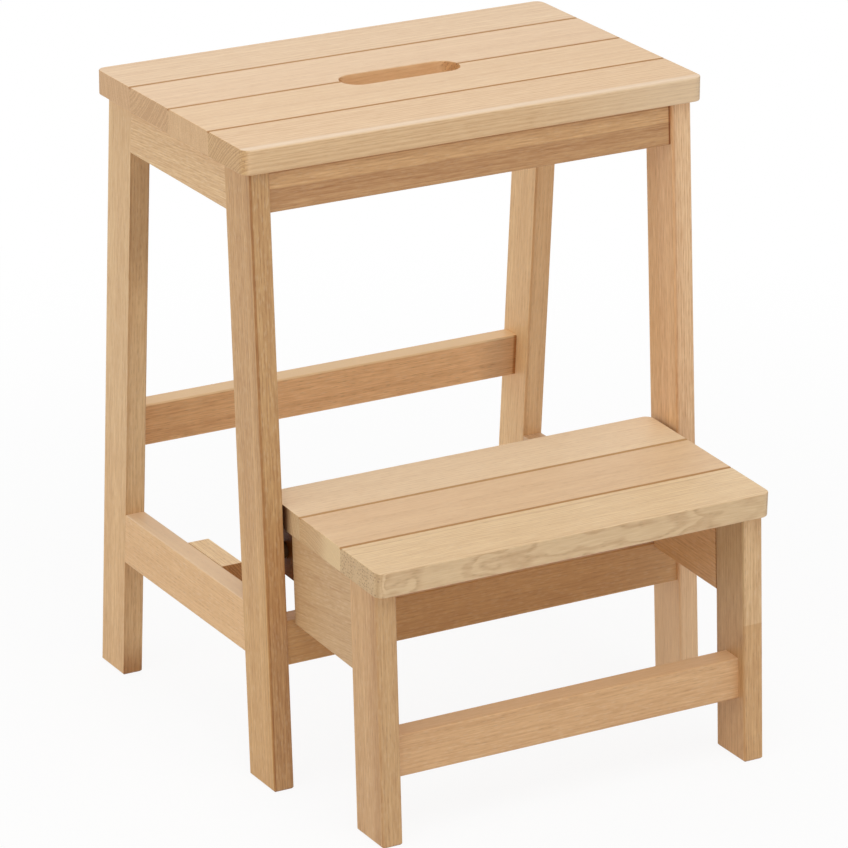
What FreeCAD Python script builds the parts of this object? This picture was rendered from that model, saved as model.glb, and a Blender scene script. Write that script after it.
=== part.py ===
"""Folding step stool in solid oak: a splayed four-leg stool whose lower step swings up and stows inside it.

The origin is on the floor at the middle of the footprint with the step down. +X runs along the planks, -Y is
the front, where the lower step stands, and +Z is up. Pieces are worked out about the middle of the seat and
moved to the origin as they are written. All sizes are in millimetres.
"""

import FreeCAD, Part

import math
import os

os.makedirs("parts", exist_ok=True)
Vector = FreeCAD.Vector

# Seat board
seat_height = 500.0
seat_length = 394.4
seat_plank_widths = (57.8, 64.4, 64.2, 56.4)
board_thickness = 19.4
board_corner_radius = 7.5
board_top_radius = 0.8
board_bottom_radius = 1.0
seat_nosing_radius = 1.6
groove_mouth = 2.6
groove_depth = 1.3
hand_slot_length = 101.5
hand_slot_width = 28.5
hand_slot_edge_radius = 1.0

# Main frame
seat_end_overhang = 7.4
seat_front_overhang = 6.4
leg_thickness = 17.0
leg_depth = 38.8
leg_splay = 3.85
leg_edge_radius = 1.6
foot_chamfer = 1.2
rail_thickness = 18.0
rail_edge_radius = 1.4
rail_setback = 3.1
cross_apron_height = 33.5
side_apron_height = 38.0
side_stretcher_top = 140.2
side_stretcher_height = 41.5
front_stretcher_drop = 8.0
front_stretcher_height = 35.0
rear_stretcher_top = 223.8
rear_stretcher_height = 34.6

# Cleats on the side stretchers that carry the stowed step
cleat_width = 17.0
cleat_length = 61.0
cleat_height = 28.0
cleat_centre_y = -2.2
cleat_nose_radius = 6.0
stow_gap = 0.5

# Lower step, with heights given as if its board were level
step_height = 222.2
step_fall = 1.9
step_plank_widths = (55.0, 62.6, 56.2)
step_end_gap = 3.2
step_end_overhang = 2.8
step_front_overhang = 7.8
step_leg_splay = 5.1
step_apron_height = 72.0
step_apron_gap = 1.0
step_stretcher_bottom = 54.5
step_stretcher_height = 32.5
step_stretcher_setback = 8.0
ear_recess = 4.0
ear_drop = 20.0
ear_corner_radius = 14.0

# Pivots
pivot_shank = 8.0
pivot_thread = 6.0
pivot_thread_length = 11.0
pivot_head = 14.0
pivot_head_height = 4.0
pivot_socket = 4.0
pivot_socket_sides = 6
pivot_socket_depth = 2.4
pivot_running_fit = 0.05
pivot_side_play = 0.4
insert_diameter = 10.0
insert_length = 12.0
spacer_diameter = 13.0
washer_diameter = 18.0
washer_thickness = 1.4

# Dowels and screws
dowel_diameter = 8.0
dowel_length = 30.0
dowel_end_chamfer = 0.8
dowel_blind_wall = 6.0
board_dowel_length = 22.0
board_dowel_in_board = 11.0
hole_clearance = 0.1
glue_space = 1.0
screw_shank = 4.0
screw_head = 8.0
screw_head_height = 2.6
screw_grip = 12.0

# Reach within which an edge counts as lying on a plane
touch = 0.01

# Values worked out from the sizes above
lean = math.tan(math.radians(leg_splay))
leg_run = leg_depth / math.cos(math.radians(leg_splay))
seat_depth = sum(seat_plank_widths)
seat_bottom = seat_height - board_thickness
leg_outer_x = seat_length / 2 - seat_end_overhang
leg_inner_x = leg_outer_x - leg_thickness
leg_top_y = seat_depth / 2 - seat_front_overhang
front_stretcher_top = side_stretcher_top - front_stretcher_drop

step_bottom = step_height - board_thickness
step_depth = sum(step_plank_widths)
step_length = 2 * (leg_inner_x - step_end_gap)
step_outer_x = step_length / 2 - step_end_overhang
step_inner_x = step_outer_x - leg_thickness
pivot_z = (step_height + side_stretcher_top + stow_gap) / 2


def leg_outside(z):
    """Distance from the seat's middle to the outside of a main leg at a height."""
    return leg_top_y + (seat_bottom - z) * lean


pivot_y = -(leg_outside(pivot_z) - leg_run / 2)
step_rear_y = pivot_y + leg_run / 2
step_front_y = step_rear_y - step_depth
step_leg_top_y = step_front_y + step_front_overhang


def step_leg_front(z):
    """Y of the front face of a step leg at a height, with the step level."""
    return step_leg_top_y - (step_bottom - z) * math.tan(math.radians(step_leg_splay))


def settled(shape):
    """Step piece turned on the pivot from level until its legs stand on the floor."""
    return shape.rotated(Vector(0, pivot_y, pivot_z), Vector(1, 0, 0), step_fall)


leg_top = settled(Part.Vertex(0, step_leg_top_y, step_bottom)).Point
foot_front_y = leg_top.y - (leg_top.z - foot_chamfer) * math.tan(math.radians(step_leg_splay - step_fall))
footprint_middle_y = (leg_outside(foot_chamfer) + foot_front_y) / 2


def prism(outline, x_start, x_end):
    """Solid between two X planes with the given (y, z) outline."""
    points = [Vector(x_start, y, z) for y, z in outline]
    face = Part.Face(Part.makePolygon(points + points[:1]))
    return face.extrude(Vector(x_end - x_start, 0, 0))


def across(face, thickness):
    """Level distance through a piece of a thickness whose face leans as given by height."""
    return thickness * math.hypot(1, face(1) - face(0))


def long_edges(shape):
    """The four longest edges of a bar."""
    return sorted(shape.Edges, key=lambda edge: edge.Length)[-4:]


def softened(shape, radius):
    """Bar with its long edges rounded."""
    return shape.makeFillet(radius, long_edges(shape))


def turned(start, axis, steps):
    """Solid of revolution stacked from (radius, length) steps along an axis."""
    direction = Vector(axis).normalize()
    at = Vector(start)
    shape = None
    for radius, length in steps:
        piece = Part.makeCylinder(radius, length, at, direction)
        shape = piece if shape is None else shape.fuse(piece)
        at = at + direction * length
    return shape.removeSplitter()


def ring(start, axis, outer, inner, length):
    """Tube from a start point along an axis, sized by its diameters."""
    direction = Vector(axis)
    hole = Part.makeCylinder(inner / 2, length, start, direction)
    return Part.makeCylinder(outer / 2, length, start, direction).cut(hole)


def mirrored(shape):
    """The same piece on the other side of the stool."""
    return shape.mirror(Vector(0, 0, 0), Vector(1, 0, 0))


class Dowel:
    """Glued peg that bottoms in its first piece and has room for glue in the second."""

    def __init__(self, face_point, axis, in_first, length):
        self.axis = Vector(axis).normalize()
        self.start = Vector(face_point) - self.axis * in_first
        self.length = length

    def solid(self):
        """The peg with chamfered ends."""
        peg = Part.makeCylinder(dowel_diameter / 2, self.length, self.start, self.axis)
        rims = [edge for edge in peg.Edges if edge.Closed]
        return peg.makeChamfer(dowel_end_chamfer, rims)

    def bore(self):
        """The hole that the peg is glued into."""
        radius = dowel_diameter / 2 + hole_clearance
        return Part.makeCylinder(radius, self.length + glue_space, self.start, self.axis)


def drilled(shape, bores):
    """Piece with every hole that reaches it."""
    box = shape.BoundBox
    near = [bore for bore in bores if box.intersect(bore.BoundBox)]
    return shape.cut(near) if near else shape


def nosed(board, y_front, z_top):
    """Board with its front top edge rounded over from end to end."""
    box = board.BoundBox
    roll_start = Vector(box.XMin, y_front + seat_nosing_radius, z_top - seat_nosing_radius)
    waste = Part.makeBox(box.XLength, seat_nosing_radius, seat_nosing_radius,
                         Vector(box.XMin, y_front, roll_start.z))
    roll = Part.makeCylinder(seat_nosing_radius, box.XLength, roll_start, Vector(1, 0, 0))
    return board.cut(waste.cut(roll))


def board_planks(length, widths, y_rear, z_top, slot):
    """Planks of a board, rear to front, cut from one softened and grooved blank.

    Slot is the Y of the hand slot in the seat, which also has a nosed front, and None in the step.
    """
    depth = sum(widths)
    z_bottom = z_top - board_thickness
    blank = Part.makeBox(length, depth, board_thickness, Vector(-length / 2, y_rear - depth, z_bottom))
    blank = blank.makeFillet(board_corner_radius, [e for e in blank.Edges if e.BoundBox.ZLength > touch])
    top_rim = [e for e in blank.Edges if e.BoundBox.ZMin > z_top - touch]
    blank = blank.makeFillet(board_top_radius, top_rim)
    bottom_rim = [e for e in blank.Edges if e.BoundBox.ZMax < z_bottom + touch]
    blank = blank.makeFillet(board_bottom_radius, bottom_rim)
    if slot is not None:
        blank = nosed(blank, y_rear - depth, z_top)
        blank = hand_slotted(blank, slot, z_bottom, z_top)

    joints = [y_rear]
    for width in widths:
        joints.append(joints[-1] - width)
    for y in joints[1:-1]:
        outline = [(y - groove_mouth / 2, z_top), (y, z_top - groove_depth), (y + groove_mouth / 2, z_top)]
        blank = blank.cut(prism(outline, -length / 2, length / 2))

    planks = []
    for rear, front in zip(joints, joints[1:]):
        slab = Part.makeBox(length, rear - front, board_thickness, Vector(-length / 2, front, z_bottom))
        planks.append(blank.common(slab))
    return planks


def hand_slotted(blank, centre_y, z_bottom, z_top):
    """Board with a round-ended hand slot whose rims are eased."""
    radius = hand_slot_width / 2
    straight = hand_slot_length - hand_slot_width
    height = z_top - z_bottom
    slot = Part.makeBox(straight, hand_slot_width, height, Vector(-straight / 2, centre_y - radius, z_bottom))
    for x in (-straight / 2, straight / 2):
        slot = slot.fuse(Part.makeCylinder(radius, height, Vector(x, centre_y, z_bottom)))
    blank = blank.cut(slot.removeSplitter())
    reach = hand_slot_length / 2 + touch
    rims = [e for e in blank.Edges
            if e.BoundBox.ZLength < touch and abs(e.BoundBox.XMin) < reach and abs(e.BoundBox.XMax) < reach]
    return blank.makeFillet(hand_slot_edge_radius, rims)


def leaning_leg(x_start, x_end, side, outer_face, top):
    """Splayed leg, still over-long below; side is -1 when it leans to the front.

    Its outer edge on the side of the rails stays square, so that they meet it flush.
    """
    bottom = -leg_depth
    inward = -side * across(outer_face, leg_depth)
    outline = [(outer_face(bottom), bottom), (outer_face(top), top),
               (outer_face(top) + inward, top), (outer_face(bottom) + inward, bottom)]
    leg = prism(outline, x_start, x_end)
    middle = (outer_face(bottom) + outer_face(top) + inward) / 2
    eased = [e for e in long_edges(leg)
             if e.CenterOfMass.x > x_start + touch or (e.CenterOfMass.y - middle) * side > 0]
    return leg.makeFillet(leg_edge_radius, eased)


def footed(leg):
    """Leg cut off level with the floor, with its sole chamfered."""
    box = leg.BoundBox
    below = Part.makeBox(box.XLength, box.YLength, -box.ZMin, Vector(box.XMin, box.YMin, box.ZMin))
    leg = leg.cut(below)
    sole = [edge for edge in leg.Edges if edge.BoundBox.ZMax < touch]
    return leg.makeChamfer(foot_chamfer, sole)


def cross_rail(half_length, side, outer_face, setback, bottom, top):
    """Rail along X between two legs, leaning with them and set back from their outer faces."""
    near, far = side * setback, side * (setback + across(outer_face, rail_thickness))
    section = [(outer_face(bottom) - near, bottom), (outer_face(top) - near, top),
               (outer_face(top) - far, top), (outer_face(bottom) - far, bottom)]
    return softened(prism(section, -half_length, half_length), rail_edge_radius)


def side_rail(bottom, top):
    """Left rail along Y that fills the width between the front and rear legs."""
    inner_low, inner_high = leg_outside(bottom) - leg_run, leg_outside(top) - leg_run
    section = [(-inner_low, bottom), (-inner_high, top), (inner_high, top), (inner_low, bottom)]
    return softened(prism(section, -leg_outer_x, -leg_inner_x), rail_edge_radius)


def cross_rail_dowels(half_length, side, outer_face, setback, bottom, top):
    """Two dowels at each end of a cross rail, seated in the legs."""
    pegs = []
    for z in (bottom + (top - bottom) / 4, top - (top - bottom) / 4):
        y = outer_face(z) - side * (setback + across(outer_face, rail_thickness) / 2)
        for end in (-1, 1):
            point = Vector(end * half_length, y, z)
            pegs.append(Dowel(point, (-end, 0, 0), leg_thickness - dowel_blind_wall, dowel_length))
    return pegs


def side_rail_dowels(x, bottom, top, ends):
    """Two dowels at each end of a side rail; ends lists (inner face by height, direction into the rail)."""
    in_leg = leg_depth - rail_setback - rail_thickness / 2 - dowel_diameter / 2 - dowel_blind_wall
    pegs = []
    for z in (bottom + (top - bottom) / 4, top - (top - bottom) / 4):
        for face, inward in ends:
            pegs.append(Dowel(Vector(x, face(z), z), (0, inward, 0), in_leg, dowel_length))
    return pegs


def front_outer(z):
    """Y of the front face of the front legs."""
    return -leg_outside(z)


def front_inner(z):
    """Y of the rear face of the front legs."""
    return -(leg_outside(z) - leg_run)


def rear_inner(z):
    """Y of the front face of the rear legs."""
    return leg_outside(z) - leg_run


def step_leg_rear(z):
    """Y of the rear face of the step legs, with the step level."""
    return step_leg_front(z) + across(step_leg_front, leg_depth)


def shoulder(z):
    """Y of the step aprons' shoulder, which clears the front legs' faces once the step has settled."""
    slope = math.tan(math.radians(leg_splay + step_fall))
    return pivot_y - leg_run / 2 - step_apron_gap - (pivot_z - z) * slope


def export(name, shapes):
    """One STEP file for a node, from one solid or a group of like solids."""
    group = shapes if isinstance(shapes, list) else [shapes]
    solids = [solid for shape in group for solid in shape.Solids]
    whole = solids[0] if len(solids) == 1 else Part.Compound(solids)
    whole.translated(Vector(0, -footprint_middle_y, 0)).exportStep("parts/" + name + ".step")


def both_sides(pegs):
    """Dowels of the left side with their mirror images."""
    copies = []
    for peg in pegs:
        twin = Dowel(Vector(0, 0, 0), peg.axis, 0.0, peg.length)
        twin.start = Vector(-peg.start.x, peg.start.y, peg.start.z)
        twin.axis = Vector(-peg.axis.x, peg.axis.y, peg.axis.z)
        copies.append(twin)
    return pegs + copies


# Cross rails of the main frame: name, lean side, bottom and top
cross_apron_bottom = seat_bottom - cross_apron_height
cross_rails = (
    ("front_apron", -1, cross_apron_bottom, seat_bottom),
    ("rear_apron", 1, cross_apron_bottom, seat_bottom),
    ("front_stretcher", -1, front_stretcher_top - front_stretcher_height, front_stretcher_top),
    ("rear_stretcher", 1, rear_stretcher_top - rear_stretcher_height, rear_stretcher_top),
)
side_rails = (
    ("side_apron", seat_bottom - side_apron_height, seat_bottom),
    ("side_stretcher", side_stretcher_top - side_stretcher_height, side_stretcher_top),
)
outer_faces = {-1: front_outer, 1: leg_outside}

frame_cross_pegs = []
for _, side, bottom, top in cross_rails:
    frame_cross_pegs += cross_rail_dowels(leg_inner_x, side, outer_faces[side], rail_setback, bottom, top)

side_x = -(leg_outer_x + leg_inner_x) / 2
frame_side_pegs = []
for _, bottom, top in side_rails:
    frame_side_pegs += side_rail_dowels(side_x, bottom, top, [(front_inner, 1), (rear_inner, -1)])
frame_side_pegs = both_sides(frame_side_pegs)

# Seat dowels: the outer planks sit on the cross aprons and the middle planks on the side aprons
seat_joints = [seat_depth / 2]
for width in seat_plank_widths:
    seat_joints.append(seat_joints[-1] - width)
apron_middle = leg_outside(seat_bottom) - rail_setback - across(leg_outside, rail_thickness) / 2
seat_peg_x = leg_inner_x - dowel_length - 2 * dowel_diameter
seat_peg_points = [(-seat_peg_x, apron_middle), (-seat_peg_x, -apron_middle)]
for rear, front in zip(seat_joints[1:-2], seat_joints[2:-1]):
    seat_peg_points.append((side_x, (rear + front) / 2))
in_support = board_dowel_length - board_dowel_in_board
seat_pegs = both_sides([Dowel(Vector(x, y, seat_bottom), (0, 0, 1), in_support, board_dowel_length)
                        for x, y in seat_peg_points])

# Lower step: dowels through the aprons and the leg tops into the planks
step_x = -(step_outer_x + step_inner_x) / 2
step_apron_bottom = step_bottom - step_apron_height
step_joints = [step_rear_y]
for width in step_plank_widths:
    step_joints.append(step_joints[-1] - width)
plank_middles = [(rear + front) / 2 for rear, front in zip(step_joints, step_joints[1:])]
plank_middles[-1] = step_leg_front(step_bottom) + dowel_blind_wall + dowel_diameter / 2
step_board_pegs = both_sides([Dowel(Vector(step_x, y, step_bottom), (0, 0, 1), in_support, board_dowel_length)
                              for y in plank_middles])
step_side_pegs = both_sides(side_rail_dowels(step_x, step_apron_bottom, step_bottom, [(step_leg_rear, 1)]))
step_cross_pegs = cross_rail_dowels(step_inner_x, -1, step_leg_front, step_stretcher_setback,
                                    step_stretcher_bottom, step_stretcher_bottom + step_stretcher_height)

# Pivot hardware on the left, from the leg inwards
pivot_point = Vector(-leg_inner_x, pivot_y, pivot_z)
inward = Vector(1, 0, 0)
ear_outer_x = step_outer_x - ear_recess
ear_gap = leg_inner_x - ear_outer_x
head_reach = leg_inner_x - step_inner_x + pivot_side_play
insert_start = pivot_point - inward * insert_length
insert = ring(insert_start, inward, insert_diameter, pivot_thread + 2 * hole_clearance, insert_length)
insert_bore = Part.makeCylinder(insert_diameter / 2 + hole_clearance, insert_length, insert_start, inward)
spacer_bore = pivot_shank + 2 * hole_clearance
spacer = ring(pivot_point, inward, spacer_diameter, spacer_bore, ear_gap - pivot_side_play)
washer_start = pivot_point + inward * head_reach
washer = ring(washer_start, inward, washer_diameter, spacer_bore, washer_thickness)
bolt_start = pivot_point - inward * pivot_thread_length
bolt = turned(bolt_start, inward, [(pivot_thread / 2, pivot_thread_length),
                                   (pivot_shank / 2, head_reach + washer_thickness),
                                   (pivot_head / 2, pivot_head_height)])
head_end = head_reach + washer_thickness + pivot_head_height
socket_floor = pivot_point + inward * (head_end - pivot_socket_depth)
socket_turn = 2 * math.pi / pivot_socket_sides
socket_radius = pivot_socket / 2 / math.cos(socket_turn / 2)
socket_angles = [i * socket_turn for i in range(pivot_socket_sides)]
socket_corners = [socket_floor + Vector(0, math.cos(angle), math.sin(angle)) * socket_radius
                  for angle in socket_angles]
socket = Part.Face(Part.makePolygon(socket_corners + socket_corners[:1]))
bolt = bolt.cut(socket.extrude(inward * pivot_socket_depth))
ear_bore_radius = pivot_shank / 2 + pivot_running_fit
ear_bore_start = Vector(-step_outer_x, pivot_y, pivot_z)
ear_bore = Part.makeCylinder(ear_bore_radius, leg_thickness, ear_bore_start, inward)


def frame_leg(side):
    """Left main leg, front (-1) or rear (1), drilled for its rails and, in front, for the pivot."""
    leg = footed(leaning_leg(-leg_outer_x, -leg_inner_x, side, outer_faces[side], seat_bottom))
    bores = [peg.bore() for peg in frame_cross_pegs + frame_side_pegs]
    return drilled(leg, bores + ([insert_bore] if side < 0 else []))


def step_apron():
    """Left step apron: deep from leg to shoulder, with a thinner rounded ear behind for the pivot."""
    ear_bottom = pivot_z - ear_drop
    low = step_apron_bottom
    ear = [(shoulder(ear_bottom), ear_bottom), (step_rear_y, ear_bottom), (step_rear_y, step_bottom)]
    body = [(step_leg_rear(step_bottom), step_bottom), (step_leg_rear(low), low), (shoulder(low), low)]
    apron = prism(body + ear, -step_outer_x, -step_inner_x)
    ear_corner = [e for e in apron.Edges if e.BoundBox.YMin > step_rear_y - touch
                  and e.BoundBox.ZMax < ear_bottom + touch and e.BoundBox.XLength > touch]
    apron = apron.makeFillet(ear_corner_radius, ear_corner)
    lower = [e for e in apron.Edges if e.BoundBox.ZMax < low + touch and e.BoundBox.YLength > touch]
    apron = apron.makeFillet(rail_edge_radius, lower)
    rebate = ear + [(shoulder(step_bottom), step_bottom)]
    apron = apron.cut(prism(rebate, -step_outer_x, -ear_outer_x))
    return drilled(apron, [peg.bore() for peg in step_board_pegs + step_side_pegs] + [ear_bore])


def cleat_screw(y):
    """Pan-head screw through the left cleat into the side stretcher, and the hole that it needs."""
    z = side_stretcher_top - cleat_height / 2
    head_seat = Vector(-leg_inner_x + cleat_width - screw_head_height, y, z)
    reach = cleat_width - screw_head_height + screw_grip
    start = head_seat - inward * reach
    screw = turned(start, inward, [(screw_shank / 2, reach), (screw_head / 2, screw_head_height)])
    bore = turned(start, inward, [(screw_shank / 2 + hole_clearance, reach),
                                  (screw_head / 2 + hole_clearance, screw_head_height)])
    return screw, bore


def cleat():
    """Left cleat: a block on the inside of the side stretcher with a rounded rear top edge."""
    corner = Vector(-leg_inner_x, cleat_centre_y - cleat_length / 2, side_stretcher_top - cleat_height)
    block = Part.makeBox(cleat_width, cleat_length, cleat_height, corner)
    nose = [e for e in block.Edges if e.BoundBox.ZMin > side_stretcher_top - touch
            and e.BoundBox.XLength > touch and e.BoundBox.YMin > cleat_centre_y]
    return block.makeFillet(cleat_nose_radius, nose)


# Main frame
seat_bores = [peg.bore() for peg in seat_pegs]
cross_bores = [peg.bore() for peg in frame_cross_pegs]
side_bores = [peg.bore() for peg in frame_side_pegs]
screws = [cleat_screw(cleat_centre_y + offset) for offset in (-cleat_length / 4, cleat_length / 4)]
screw_bores = [bore for _, bore in screws]

slot_y = seat_joints[2]
seat_names = ("seat_plank_rear", "seat_plank_rear_middle", "seat_plank_front_middle", "seat_plank_front")
seat_planks = board_planks(seat_length, seat_plank_widths, seat_depth / 2, seat_height, slot_y)
for name, plank in zip(seat_names, seat_planks):
    export(name, drilled(plank, seat_bores))

for side, place in ((-1, "front"), (1, "rear")):
    leg = frame_leg(side)
    export(place + "_leg_left", leg)
    export(place + "_leg_right", mirrored(leg))

for name, side, bottom, top in cross_rails:
    rail = cross_rail(leg_inner_x, side, outer_faces[side], rail_setback, bottom, top)
    export(name, drilled(rail, cross_bores + seat_bores))

for name, bottom, top in side_rails:
    rail = drilled(side_rail(bottom, top), side_bores + seat_bores + screw_bores)
    export(name + "_left", rail)
    export(name + "_right", mirrored(rail))

stow_cleat = drilled(cleat(), screw_bores)
export("stow_cleat_left", stow_cleat)
export("stow_cleat_right", mirrored(stow_cleat))

cleat_screws = [screw for screw, _ in screws]
export("cleat_screws", cleat_screws + [mirrored(screw) for screw in cleat_screws])
export("seat_dowels", [peg.solid() for peg in seat_pegs])
export("cross_rail_dowels", [peg.solid() for peg in frame_cross_pegs])
export("side_rail_dowels", [peg.solid() for peg in frame_side_pegs])
for name, piece in (("pivot_bolts", bolt), ("pivot_spacers", spacer), ("pivot_washers", washer),
                    ("pivot_inserts", insert)):
    export(name, [piece, mirrored(piece)])

# Lower step
step_bores = [peg.bore() for peg in step_board_pegs]
step_names = ("step_plank_rear", "step_plank_middle", "step_plank_front")
step_planks = board_planks(step_length, step_plank_widths, step_rear_y, step_height, None)
for name, plank in zip(step_names, step_planks):
    export(name, settled(drilled(plank, step_bores)))

step_leg_bores = [peg.bore() for peg in step_board_pegs + step_side_pegs + step_cross_pegs]
step_leg = leaning_leg(-step_outer_x, -step_inner_x, -1, step_leg_front, step_bottom)
step_leg = footed(settled(drilled(step_leg, step_leg_bores)))
export("step_leg_left", step_leg)
export("step_leg_right", mirrored(step_leg))

apron = settled(step_apron())
export("step_apron_left", apron)
export("step_apron_right", mirrored(apron))

step_stretcher = cross_rail(step_inner_x, -1, step_leg_front, step_stretcher_setback,
                            step_stretcher_bottom, step_stretcher_bottom + step_stretcher_height)
export("step_stretcher", settled(drilled(step_stretcher, [peg.bore() for peg in step_cross_pegs])))
export("step_board_dowels", [settled(peg.solid()) for peg in step_board_pegs])
export("step_frame_dowels", [settled(peg.solid()) for peg in step_side_pegs + step_cross_pegs])
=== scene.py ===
"""Dresses the folding oak step stool: sawn oak for every board and bar, hardware finishes, studio and camera.

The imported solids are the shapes. Each board and bar gets its own cut of one solid oak texture, so that rings,
pores and rays run through it from face to end grain, as they do in a piece sawn from a log.
"""

import logging
import math
from dataclasses import dataclass, field
from enum import Enum

import bpy
from mathutils import Matrix, Vector

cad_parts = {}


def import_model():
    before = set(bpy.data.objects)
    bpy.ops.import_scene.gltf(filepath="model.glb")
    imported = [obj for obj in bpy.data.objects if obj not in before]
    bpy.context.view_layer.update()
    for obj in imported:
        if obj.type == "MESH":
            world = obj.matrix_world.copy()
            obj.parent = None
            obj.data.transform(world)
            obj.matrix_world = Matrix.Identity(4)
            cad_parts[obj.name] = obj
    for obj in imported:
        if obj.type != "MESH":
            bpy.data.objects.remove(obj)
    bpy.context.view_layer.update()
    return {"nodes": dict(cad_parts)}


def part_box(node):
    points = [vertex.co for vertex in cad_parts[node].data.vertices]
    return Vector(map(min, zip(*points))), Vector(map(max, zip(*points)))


log = logging.getLogger("step_stool")

MM = 0.001
IMAGE_SIDE_PX = 848
SENSOR_MM = 36.0
WHITE = "#FFFFFF"

Colour = tuple[float, float, float, float]
Pieces = dict[str, bpy.types.Object]
Tree = bpy.types.NodeTree
Node = bpy.types.Node
Socket = bpy.types.NodeSocket


def linear(hex_colour: str) -> Colour:
    """Turns an sRGB hex colour into the linear colour that shaders take.

    Args:
        hex_colour: Colour such as "#E6C8A5".

    Returns:
        Linear red, green and blue, with full opacity.
    """
    values = [int(hex_colour[i:i + 2], 16) / 255 for i in (1, 3, 5)]
    red, green, blue = [v / 12.92 if v <= 0.04045 else ((v + 0.055) / 1.055) ** 2.4 for v in values]
    return red, green, blue, 1.0


def add_node(tree: Tree, kind: str, inputs: dict[int | str, object] | None = None,
             **settings: str | bool) -> Node:
    """Adds a node, gives it its settings, and fills its inputs with values or links.

    Args:
        tree: Tree that the node joins.
        kind: Blender's name of the node type, without "ShaderNode".
        inputs: Input name or number, with a value or with the output that feeds it.
        **settings: Properties of the node, such as operation.

    Returns:
        The new node.
    """
    node = tree.nodes.new("ShaderNode" + kind)
    for name, value in settings.items():
        setattr(node, name, value)
    for key, value in (inputs or {}).items():
        if isinstance(value, Socket):
            tree.links.new(value, node.inputs[key])
        else:
            node.inputs[key].default_value = value
    return node


def new_material(name: str) -> tuple[bpy.types.Material, Tree]:
    """Makes an empty node material.

    Args:
        name: Name of the finish and the piece.

    Returns:
        The material and its empty tree.
    """
    material = bpy.data.materials.new(name)
    material.use_nodes = True
    material.node_tree.nodes.clear()
    return material, material.node_tree


class Fibre(Enum):
    """Way that a piece's fibres run, with the two directions across them."""

    ALONG_X = ((1, 0, 0), (0, 1, 0), (0, 0, 1))
    ALONG_Y = ((0, 1, 0), (0, 0, 1), (1, 0, 0))
    UPRIGHT = ((0, 0, 1), (1, 0, 0), (0, 1, 0))


class Across(Enum):
    """Direction in a piece that a band of other wood is measured in."""

    LENGTH = 0
    BREADTH = 1
    DEPTH = 2


class Face(Enum):
    """Faces that a band shows on, with the way that they look."""

    ALL = (0, 0, 0)
    TOP = (0, 0, 1)
    FRONT = (0, -1, 0)
    LEFT = (-1, 0, 0)


@dataclass(frozen=True)
class Band:
    """Stretch of a piece with another tone: sapwood, heartwood, a glued-on strip, a worn edge, painted light or
    painted shade.

    It lies between two places given from the piece's middle. The tint darkens the wood, or covers a share of
    it where a veil is given.
    """

    across: Across
    start_mm: float
    stop_mm: float
    tint: str
    blend_mm: float = 1.0
    wander_mm: float = 0.0
    veil: float = 0.0
    face: Face = Face.ALL


Trait = float | str | tuple[Band, ...]


@dataclass(frozen=True)
class Sawing:
    """How one piece was sawn: its fibres, the place of the log's heart, its tone and its figure."""

    fibre: Fibre
    heart_mm: tuple[float, float]
    tilt_deg: float = 0.0
    run_out_deg: float = 0.0
    tone: str = "#D6B185"
    end_tint: str = "#EADCC8"
    figure: float = 0.42
    ring_mm: float = 2.6
    wave_mm: float = 2.0
    wave_length_mm: float = 190.0
    rings: float = 0.22
    end_rings: float = 0.9
    streaks: float = 0.45
    rays: float = 0.12
    pores: float = 0.3
    end_pores: float = 0.4
    pore_mm: float = 1.4
    seed: int = 0
    bands: tuple[Band, ...] = ()

    def directions(self) -> tuple[Vector, Vector, Vector]:
        """Turns the fibres by the piece's tilt and by the run-out of its grain.

        Returns:
            Unit directions of length, breadth and depth in the stool's frame.
        """
        tilt = Matrix.Rotation(math.radians(self.tilt_deg), 3, "X")
        length, breadth, depth = (tilt @ Vector(v) for v in self.fibre.value)
        slant = Matrix.Rotation(math.radians(self.run_out_deg), 3, depth)
        return slant @ length, slant @ breadth, depth


@dataclass(frozen=True)
class Wood:
    """Wood of one piece in its material: how it was sawn, and what its patterns are laid out by.

    The place from the log's heart is in millimetres, whole and as separate axes. The sample is the same
    place, shifted for this piece's own noise. The end is 1 on end grain.
    """

    tree: Tree
    sawing: Sawing
    coordinates: Node
    from_heart: Socket
    axes: Node
    sample: Socket
    end: Socket


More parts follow.
